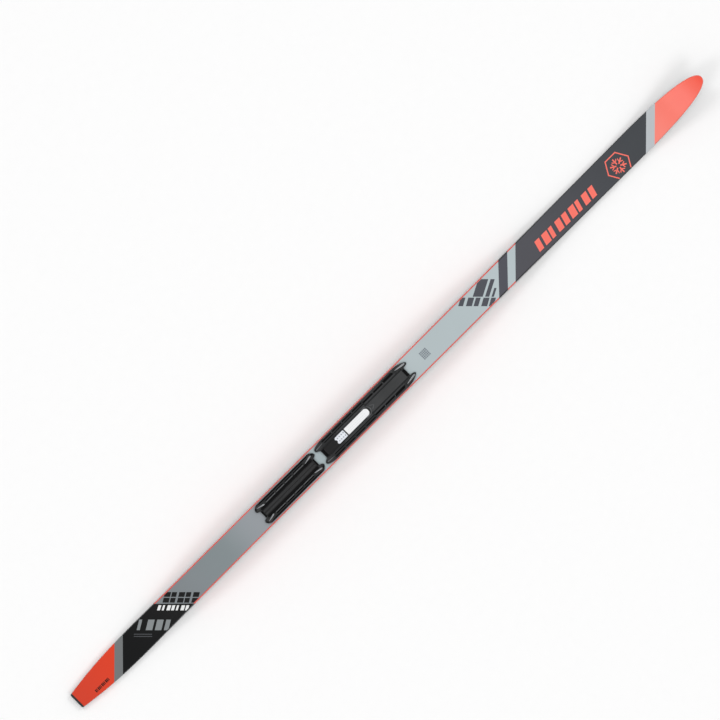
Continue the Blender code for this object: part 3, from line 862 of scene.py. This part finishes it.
def graded(features, low, high, gap, fine=(), fine_gap=0.45):
    """Grid lines no more than gap apart, paired round feature edges and closer in the fine spans."""
    wanted = [f + side * EDGE_HALF for f in features for side in (-1, 1)]
    for start, end in fine:
        wanted += spread(start, end, math.ceil((end - start) / fine_gap))
    marks = sorted({low, high} | {m for m in wanted if low < m < high})
    out = [low]
    for a, b in zip(marks, marks[1:]):
        out += spread(a, b, max(1, math.ceil((b - a) / gap)))[1:]
    return [m for i, m in enumerate(out) if i == 0 or m - out[i - 1] > 1e-4]


LIP = (3.3, 3.0, 1.5, 1.2)  # heights of the side's undercut, with a small bevel at each mouth
LIP_DEPTH = 1.5


def side_wall(crown_point, lip_span):
    """Points down the plate's side from its crown: lip, undercut and foot."""
    x, y, z = crown_point
    depth = LIP_DEPTH * float(band_mask(x, *lip_span, 4.0))
    scale = (z - PLATE_FOOT) / PLATE_TOP
    return [(x, y - (depth if i in (1, 2) else 0.0), PLATE_FOOT + rise * scale) for i, rise in enumerate(LIP)]


def add_plate(name, node, outline, inner_x, columns, rows, height, lip_span, regions):
    """A moulded plate drawn as a height over its outline, with an undercut lip along both sides."""
    rows = sorted(set(rows) | {-y for y in rows})
    ys, xs = np.array(rows), np.array(columns)
    grid_y, grid_x = np.meshgrid(ys, xs, indexing="ij")
    rear, front = (np.interp(np.abs(grid_y), [y for _, y in end], [x for x, _ in end]) for end in outline)
    warped = grid_x
    for inner, outer, end in ((inner_x[0], xs[0], rear), (inner_x[1], xs[-1], front)):
        share = np.clip((grid_x - inner) / (outer - inner), 0, 1)
        warped = np.where(share > 0, inner + (end - inner) * share, warped)
    level = height(warped, np.abs(grid_y))
    count_y, count_x = grid_x.shape
    rings = []
    for c in range(count_x):
        crown = [(warped[r, c], ys[r], PLATE_FOOT + level[r, c]) for r in range(count_y)]
        left = side_wall(crown[-1], lip_span)
        right = [(x, -y, z) for x, y, z in side_wall((crown[0][0], -crown[0][1], crown[0][2]), lip_span)]
        floor = [(warped[r, c], ys[r], PLATE_FOOT) for r in range(count_y - 1, -1, -1)]
        rings.append(crown + left + floor + right[::-1])
    points, faces = skin_rings(rings)
    faces = faces[:-2]
    for c in (0, count_x - 1):
        first = c * len(rings[0])
        foot = [first + 2 * count_y + 3 - r for r in range(count_y)]
        walls = [first + count_y + i for i in range(4)]
        walls_right = [first + 2 * count_y + 4 + i for i in range(4)]
        faces.append((first, first + 1, foot[1], foot[0], *walls_right))
        for r in range(1, count_y - 2):
            faces.append((first + r, first + r + 1, foot[r + 1], foot[r]))
        faces.append((first + count_y - 2, first + count_y - 1, *walls, foot[-1], foot[-2]))
    add_piece(name, points, faces, plate_materials(), "plate_plastic", node, 32.0,
              painted(points, faces, regions))


def add_blade(name, node, blade, side, slopes, finish):
    """The drop-shaped pad itself, rounded across and along, on the slope that leads down to the tip."""
    rings = []
    for s in spread(0.0, 1.0, 26):
        half = max(blade.half(s), 0.05)
        x, y = (blend(a, b, s) for a, b in zip(blade.thin, blade.broad))
        foot = PLATE_FOOT + min(slope_height(x, *slopes), PLATE_TOP - 0.2)
        lift = blade.lift * (half / (blade.width / 2)) ** 0.6
        crown = (spoke(1.0, a) for a in spread(-90.0, 90.0, 10))
        profile = [(half * s, min(foot + lift * c, PLATE_FOOT + PLATE_TOP)) for c, s in crown]
        profile += [(half * 0.98, foot - 0.9), (-half * 0.98, foot - 0.9)]
        ax, ay = blade.ahead
        rings.append([(x - off * ay, side * (y + off * ax), z) for off, z in profile])
    add_piece(name, *skin_rings(rings), [plate_materials()[finish]], "plate_plastic", node, 60.0)


def add_blades(name, node, blades, slopes, finishes):
    for end, blade, finish in zip(("rear", "front"), blades, finishes):
        for side, word in ((1, "left"), (-1, "right")):
            # The ring round each pad is near black as painted shade.
            add_blade(f"{name}_bed_{end}_{word}", node, blade.shade_ring(), side, slopes, DEEP_SHADE)
            add_blade(f"{name}_pad_{end}_{word}", node, blade, side, slopes, finish)


RIB_WIDTH = 1.5


def add_rib(name, node, path, foot, crown):
    """A rounded rib swept along a path of (x, y) points."""
    profile = [(-0.5, foot), (-0.5, crown - 0.35), (-0.36, crown - 0.1), (-0.15, crown),
               (0.15, crown), (0.36, crown - 0.1), (0.5, crown - 0.35), (0.5, foot)]
    rings = []
    for i, (x, y) in enumerate(path):
        (ax, ay), (bx, by) = path[max(i - 1, 0)], path[min(i + 1, len(path) - 1)]
        length = math.hypot(bx - ax, by - ay)
        nx, ny = RIB_WIDTH * (ay - by) / length, RIB_WIDTH * (bx - ax) / length
        rings.append([(x + nx * u, y + ny * u, PLATE_FOOT + z) for u, z in profile])
    # The rib's lighter grey is a painted highlight.
    add_piece(name, *skin_rings(rings), [plate_materials()[SOFT_HIGHLIGHT]], "plate_plastic", node, 50.0)


FRONT_RIBS = [607.4 + 23.9 * i for i in range(8)]
FRONT_SLOTS = [(595.3, 599.7), (788.2, 792.8)]
REAR_SLOTS = [(450.0, 452.5), (573.6, 575.9)]
RIB_CHANGE = FRONT_RIBS[4]  # the pockets lie farther in ahead of this rib
TEETH_START = 607.0
TEETH_PITCH = 2.5
REAR_POCKETS = [(468.6, 489.8), (493.4, 510.5), (514.6, 531.0), (534.7, 557.0)]
FRONT_SLOPES = (586.6, 803.4)
REAR_SLOPES = (443.0, 583.2)
SLOPE_FOOT = 1.5
RIM_DROP = 0.9
MIDDLE_EDGE = 8.2  # half width of the front plate's middle, with the label well
WELL_FLOOR = 2.2
SLOT_FLOOR = 0.8
ALL = (-9000.0, 9000.0)  # a span without limits


def slope_height(x, rear, front):
    """Height of the slopes that lead down to the prongs' tips; works on arrays."""
    share = np.minimum(np.clip((x - rear) / 19.0, 0, 1), np.clip((front - x) / 25.0, 0, 1))
    return SLOPE_FOOT + (PLATE_TOP - SLOPE_FOOT) * share ** 0.75


def finished(h, x, y, slopes, half, rim):
    """The heights held under the slopes beside the middle, with the outer edge rounded over."""
    h = np.where(y > MIDDLE_EDGE, np.minimum(h, slope_height(x, *slopes)), h)
    near = np.clip((y - (half - rim)) / rim, 0, 1)
    return np.clip(h - RIM_DROP * near ** 2, SLOT_FLOOR, PLATE_TOP)


def front_height(x, y):
    """The long plate: rails and pockets between ribs, racks beside the label well, and a panel."""
    ahead = band_mask(x, RIB_CHANGE, 900.0)
    h = np.full_like(x, 4.6)
    h = toward(h, PLATE_TOP, band_mask(y, 13.8, 16.2) * (1 - ahead))
    h = toward(h, 5.0, band_mask(y, 10.6, 13.2) * ahead)
    for start, end in zip(FRONT_RIBS, FRONT_RIBS[1:]):
        between = band_mask(x + (y - 15.0) * 0.45, start + 0.9, end - 0.9)
        wide = 1.2 if end == FRONT_RIBS[-1] else 0.0
        pockets = [(2.0, 13.4, 16.4 + wide), (3.9, 17.6 + wide / 2, 18.8)]
        if start < RIB_CHANGE:
            pockets = [(1.9, 16.4, 18.6), (2.2, 12.4, 13.6)]
        for floor, low, high in pockets:
            h = toward(h, floor, between * band_mask(y, low, high))
    h = toward(h, 3.6, band_mask(y, 8.3, 9.8))
    teeth = 0.5 + 0.5 * np.sign(np.sin((x - TEETH_START) * math.tau / TEETH_PITCH))
    h = toward(h, 4.5, band_mask(x, 606.0, 701.0) * band_mask(y, 8.5, 9.8) * teeth)
    h = levelled(h, x, y, [(3.2, (704.0, 788.6), (9.0, 10.4)),
                           (WELL_FLOOR, ALL, (-1.0, MIDDLE_EDGE)),
                           (3.5, (703.0, 791.0), (-1.0, MIDDLE_EDGE))])
    fine = 0.5 + 0.5 * np.cos((x - 722.0) * math.tau / 1.8)
    h = h + 0.10 * fine * band_mask(x, 722.0, 785.5) * band_mask(y, -1.0, 7.6)
    h = levelled(h, x, y, [(SLOT_FLOOR, FRONT_SLOTS[0], (-1.0, 7.2)),
                           (3.4, (600.2, 601.4), (-1.0, 7.4)),
                           (SLOT_FLOOR, FRONT_SLOTS[1], (-1.0, 6.4))])
    return finished(h, x, y, FRONT_SLOPES, FRONT_HALF, 1.3)


def rear_height(x, y):
    """The short plate: trough, rails, pockets with a lip, and a middle with two broad ribs."""
    h = np.full_like(x, 4.3)
    h = toward(h, PLATE_TOP, band_mask(y, 15.3, 17.0))
    h = toward(h, 1.8, band_mask(y, 17.3, 19.0) * band_mask(x, 456.5, 570.5, 1.5))
    h = levelled(h, x, y, [(3.4, (466.0, 558.0), (10.8, 13.2)), (2.6, ALL, (-1.0, 10.6))])
    h = levelled(h, x, y, [(1.6, pocket, (13.3, 15.1)) for pocket in REAR_POCKETS])
    h = h + 0.4 * band_mask(y, 1.3, 4.3, 1.4) * band_mask(x, 456.0, 570.0, 2.0)
    h = toward(h, 1.6, band_mask(y, 5.8, 10.4, 0.5) * band_mask(x, 457.0, 569.5, 1.0))
    h = levelled(h, x, y, [(SLOT_FLOOR, slot, (-1.0, 6.6)) for slot in REAR_SLOTS])
    return finished(h, x, y, REAR_SLOPES, REAR_HALF, 1.2)


def painted(points, faces, regions):
    """A finish for each face: that of the first (finish, x, y and z span) which holds its middle."""
    found = []
    for face in faces:
        x, y, z = (sum(values) / 4 for values in zip(*(points[i] for i in face[:4])))
        middle = (x, abs(y), z - PLATE_FOOT)
        found.append(next((finish for finish, *spans in regions
                           if all(low < v < high for v, (low, high) in zip(middle, spans))), GRAINED))
    return found


CREST = 9.0  # a height above all of a plate's faces
LOW = 0.3  # a height just above its foot

FRONT_PAINT = [
    (PANEL, (703.5, 787.5), (-1.0, 8.2), (3.0, CREST)),
    (PANEL, (636.0, 702.0), (8.3, 12.2), (3.4, CREST)),
    (PANEL, (704.0, 776.0), (10.6, 13.2), (4.0, CREST)),
    (PANEL, (704.0, 776.0), (16.9, 21.0), (3.0, CREST)),
    (PANEL, (612.0, 704.0), (19.0, 21.0), (3.0, CREST)),
    # The tops of the webs between the pockets are lighter as a painted highlight.
    (SOFT_HIGHLIGHT, (609.0, 701.0), (16.6, 18.4), (3.4, CREST)),
    (SOFT_HIGHLIGHT, (705.0, 770.0), (13.6, 16.2), (3.4, CREST)),
    # The pockets' floors and the slots are darkened as painted shade.
    (DEEP_SHADE, (606.0, 777.0), (11.0, 18.8), (LOW, 2.7)),
    (DEEP_SHADE, ALL, (-1.0, 7.2), (LOW, 1.5)),
    # The well ahead of the label and the prong ends are darkened as painted shade.
    (PAINTED_SHADE, (602.0, 640.0), (-1.0, 8.2), (LOW, 2.4)),
    (GRAINED, (590.0, 798.0), ALL, ALL),
    (PAINTED_SHADE, ALL, ALL, (LOW, CREST))]
REAR_PAINT = [
    # The middle's grooves, the pockets and the slots are darkened as painted shade.
    (DEEP_SHADE, (453.0, 573.0), (5.8, 10.5), (LOW, 3.2)),
    (DEEP_SHADE, (453.0, 573.0), (1.6, 4.0), (LOW, 1.5)),
    (GRAINED, (453.0, 573.0), (1.6, 4.0), ALL),
    # The middle floor, the rim and trough, and the prong ends are darkened as painted shade.
    (PAINTED_SHADE, (453.0, 573.0), (-1.0, 6.0), (LOW, 3.2)),
    (DEEP_SHADE, ALL, (13.0, 19.1), (LOW, 2.7)),
    (DEEP_SHADE, ALL, (-1.0, 7.1), (LOW, 1.5)),
    (PAINTED_SHADE, ALL, (17.0, 30.0), (LOW, CREST)),
    (GRAINED, (447.2, 578.4), ALL, ALL),
    (PAINTED_SHADE, ALL, ALL, (LOW, CREST))]


def make_front_plate():
    teeth = [TEETH_START + TEETH_PITCH / 2 * i for i in range(76)]
    ribs = [r + s for r in FRONT_RIBS for s in (-1.5, -0.3, 0.3, 1.5)]
    marks = ribs + teeth + ends(FRONT_SLOTS) + [600.2, 601.4, 701.0, 703.0, 791.0]
    columns = graded(marks, *FRONT_SLOPES, 0.9, ((586.6, 606.0), (722.0, 786.0), (775.0, 803.4)))
    edges = [6.4, 7.2, 8.2, 8.5, 9.0, 9.8, 10.4, 10.6, 12.4, 13.2, 13.4, 13.6, 13.8, 16.2, 16.4, 17.6, 18.6]
    rows = graded(edges, 0.0, FRONT_HALF, 1.2, ((10.0, FRONT_HALF),), 0.5)
    add_plate("toe_plate", "front_plate", (FRONT_REAR_END, FRONT_FRONT_END), (612.0, 770.0), columns, rows,
              front_height, (610.0, 768.0), FRONT_PAINT)
    add_blades("toe_plate", "front_plate", FRONT_BLADES, FRONT_SLOPES, (SOFT_HIGHLIGHT, STRONG_HIGHLIGHT))
    nose = turned([spoke(MIDDLE_EDGE, 90 - a) for a in range(0, 181, 9)], 697.0, 0.0)
    leg = [(x, MIDDLE_EDGE) for x in spread(690.0, 696.0, 3)]
    arch = leg + nose + [(x, -y) for x, y in leg[::-1]]
    add_rib("toe_plate_arch", "front_plate", arch, 2.0, 4.6)
    arrow = [(707.6, 4.4), (711.0, 2.2), (714.0, 0.0), (711.0, -2.2), (707.6, -4.4)]
    add_rib("toe_plate_arrow", "front_plate", arrow, 3.0, 4.4)


def make_rear_plate():
    columns = graded(ends(REAR_POCKETS + REAR_SLOTS), *REAR_SLOPES, 0.9, ((443.0, 466.0), (557.0, 583.2)))
    edges = [1.3, 4.3, 5.8, 6.6, 10.4, 10.6, 13.2, 13.3, 15.1, 15.3, 17.0, 17.3, 19.0]
    rows = graded(edges, 0.0, REAR_HALF, 0.5)
    add_plate("heel_plate", "rear_plate", (REAR_REAR_END, REAR_FRONT_END), (467.0, 557.5), columns, rows,
              rear_height, (456.0, 568.0), REAR_PAINT)
    add_blades("heel_plate", "rear_plate", REAR_BLADES, REAR_SLOPES, (STRONG_HIGHLIGHT, STRONG_HIGHLIGHT))
    for i, (start, end) in enumerate(REAR_POCKETS):
        for side, word in ((1, "left"), (-1, "right")):
            lip = [(x, side * 12.1) for x in spread(start - 0.6, end + 0.6, 8)]
            add_rib(f"heel_plate_lip_{i + 1}_{word}", "rear_plate", lip, 3.0, 4.7)


# ---- labels

def add_film(name, node, outlines, low, high, material, bevel=0.0):
    """Closed patches between two heights, with a small bevel if one is asked for."""
    bm = bmesh.new()
    for outline in outlines:
        bm.faces.new([bm.verts.new((x, y, low)) for x, y in outline])
    for v in raised(bm):
        v.co.z = high
    for v in bm.verts:
        v.co = place(*v.co)
    if bevel:
        rim = [e for e in bm.edges if min(v.co.z for v in e.verts) > (high - 0.01) * MM]
        bmesh.ops.bevel(bm, geom=rim, offset=bevel * MM, segments=2, affect="EDGES", profile=0.5)
    add_bmesh_piece(name, bm, material, node)


def mirrored(half):
    return half + [(x, -y) for x, y in reversed(half) if y > 0.0]


def make_labels():
    white = Shader("label_white", roughness=0.35, specular=0.45)
    fibre = white.noise(700.0, detail=3.0)
    white.colour(white.blended(fibre, linear(240, 241, 242), linear(246, 246, 247)))
    white.bump(fibre, 0.08, 0.03)
    ink = flat_print("label_ink", (150, 154, 160))
    faint = flat_print("label_faint", (214, 216, 218))
    tag = [(627.0, 0.0), (627.0, 1.2), (626.2, 2.0), (625.2, 2.8), (625.2, 4.4), (626.0, 5.9), (627.6, 6.7),
           (646.1, 6.7), (646.1, 0.0)]
    info = [(648.5, 0.0), (648.5, 6.7), (695.8, 6.7), (696.8, 6.5), (697.7, 5.9), (699.8, 3.9), (700.4, 3.0),
            (700.6, 2.0), (700.6, 0.0)]
    tinted = flat_print("tag_tinted", (231, 235, 242), roughness=0.35)
    add_film("tag_film", "tag_label", [mirrored(tag)], LABEL_FOOT, LABEL_TOP, tinted, 0.15)
    add_film("info_film", "info_label", [mirrored(info)], LABEL_FOOT, LABEL_TOP, white.material, 0.15)

    disc = [spoke(1.15, 360 * i / 14) for i in range(14)]
    dots = [turned(disc, 629.9 + 4.6 * i, y) for i in range(4) for y in (3.0, -3.0)]
    add_film("tag_dots", "tag_label", dots, LABEL_TOP - 0.05, LABEL_TOP + 0.03, ink)
    dashes = [bar(653.0 + 4.1 * i, 2.8, 0.7) for i in range(10)]
    dashes += [bar(654.0, 38.0, 0.4, v=y) for y in (3.4, -3.4)]
    add_film("info_lines", "info_label", dashes, LABEL_TOP - 0.05, LABEL_TOP + 0.03, faint)


# ---- pieces that keep their CAD shape

def dress(node, material, bevel=0.0):
    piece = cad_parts[node]
    piece.data.materials.clear()
    piece.data.materials.append(material)
    if bevel:
        step = piece.modifiers.new("soft_edges", "BEVEL")
        step.width = bevel * MM
        step.segments = 2
        step.limit_method = "ANGLE"


def dress_cad_pieces():
    for material, nodes in (
            (composite("glass_laminate", (196, 204, 178)),
             ("lower_laminate", "cap_laminate", "mounting_reinforcement")),
            (moulded("bonding_film", (52, 54, 55), 0.4),
             ("skin_adhesive", "front_plate_adhesive", "rear_plate_adhesive")),
            (wood("light_wood", (226, 196, 150), (188, 150, 104)),
             ("core_centre_stringer", "core_left_stringer", "core_right_stringer")),
            (wood("dense_wood", (190, 150, 104), (132, 92, 58)),
             ("core_left_edge_stringer", "core_right_edge_stringer")),
            (moulded("filler_plastic", (62, 62, 66), 0.6), ("tip_spacer", "tail_spacer"))):
        for node in nodes:
            dress(node, material)
    dress("tail_protector", moulded("protector_black", (26, 26, 28), 0.42), 0.35)


# ---- floor, light and camera

LAMP_ELEVATION = math.radians(53.0)
LAMP_DISTANCE = 7.0


def make_stage():
    """A pale floor, a white sky, and four soft lamps round the ski."""
    floor_shader = Shader("studio_floor", roughness=0.9, specular=0.1)
    grain = floor_shader.noise(60.0, detail=2.0)
    floor_shader.colour(floor_shader.mixed(grain, (0.96, 0.96, 0.96, 1.0), (0.98, 0.98, 0.98, 1.0)))
    bpy.ops.mesh.primitive_plane_add(size=60.0, location=(0, 0, -0.0002))
    floor = bpy.context.object
    floor.name = "studio_floor"
    floor.data.materials.append(floor_shader.material)

    world = bpy.data.worlds.new("studio")
    bpy.context.scene.world = world
    world.use_nodes = True
    sky = world.node_tree.nodes["Background"]
    sky.inputs["Color"].default_value = (1.0, 1.0, 1.0, 1.0)
    sky.inputs["Strength"].default_value = 0.58

    for name, azimuth, power, size in (("key", 90.0, 70.0, 2.4), ("fill", -90.0, 70.0, 2.4),
                                       ("front", 0.0, 66.0, 2.0), ("back", 180.0, 66.0, 2.0)):
        lamp = bpy.data.lights.new(name, "AREA")
        lamp.energy = power
        lamp.size = size
        holder = linked(name, lamp)
        a = math.radians(azimuth)
        level = math.cos(LAMP_ELEVATION)
        holder.location = LAMP_DISTANCE * Vector((math.cos(a) * level, math.sin(a) * level,
                                                  math.sin(LAMP_ELEVATION)))
        holder.rotation_euler = (-holder.location).to_track_quat("-Z", "Y").to_euler()


def make_camera():
    """Straight down from far off, with the ski's tip towards the upper right of the picture."""
    view_width = 1.2230      # metres across the picture at the height of the ski's top
    lens_data = bpy.data.cameras.new("camera")
    lens_data.lens = 600.0
    lens_data.sensor_width = 36.0
    lens_data.clip_end = 100.0
    camera = linked("camera", lens_data)
    distance = view_width * lens_data.lens / lens_data.sensor_width
    camera.location = (0.00107, 0.06984, distance + 0.02)
    camera.rotation_euler = (0.0, 0.0, math.radians(-44.9853))
    bpy.context.scene.camera = camera
    bpy.context.scene.view_settings.view_transform = "Standard"


make_camera()
make_stage()
make_cover()
make_marks()
make_base()
make_grip_skin()
make_front_plate()
make_rear_plate()
make_labels()
dress_cad_pieces()
